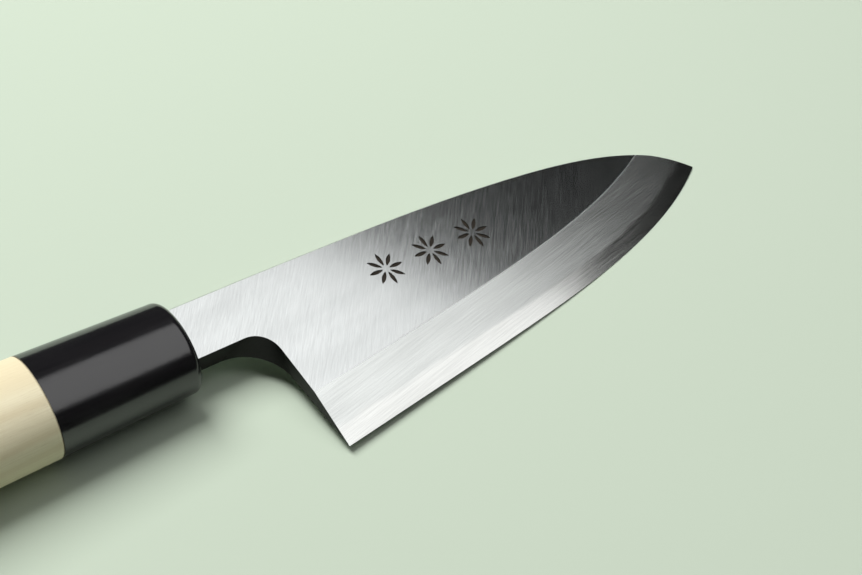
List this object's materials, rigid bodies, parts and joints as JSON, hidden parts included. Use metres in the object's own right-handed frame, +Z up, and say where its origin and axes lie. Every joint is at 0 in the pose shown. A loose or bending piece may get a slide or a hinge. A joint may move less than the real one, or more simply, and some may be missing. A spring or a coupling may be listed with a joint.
{
  "type": "deba knife",
  "caption": "Right-handed single-bevel Japanese butchery knife: thick laminated blade with a finger notch, black oval ferrule and pale wooden handle, lying on its back face.",
  "frame": {"origin": "under the middle of the knife's bounding box, on the surface it lies on", "axes": "+X to the tip along the knife, +Y to the spine's side, +Z up from the surface; the knife lies on its flat back face's side, resting on the ferrule and on the edge"},
  "size_m": [0.2932, 0.0564, 0.0261],
  "materials": {
    "soft_iron": "fine cross-ground satin",
    "hard_steel": "stone-polished, brighter than the cladding",
    "horn": "polished black",
    "ho_wood": "bare, sanded smooth",
    "sealant": "matt black"
  },
  "bodies": {
    "root": {"blade_cladding": "soft_iron", "edge_steel": "hard_steel", "ferrule": "horn", "handle_grip": "ho_wood", "tang_seal": "sealant"}
  },
  "joints": []
}
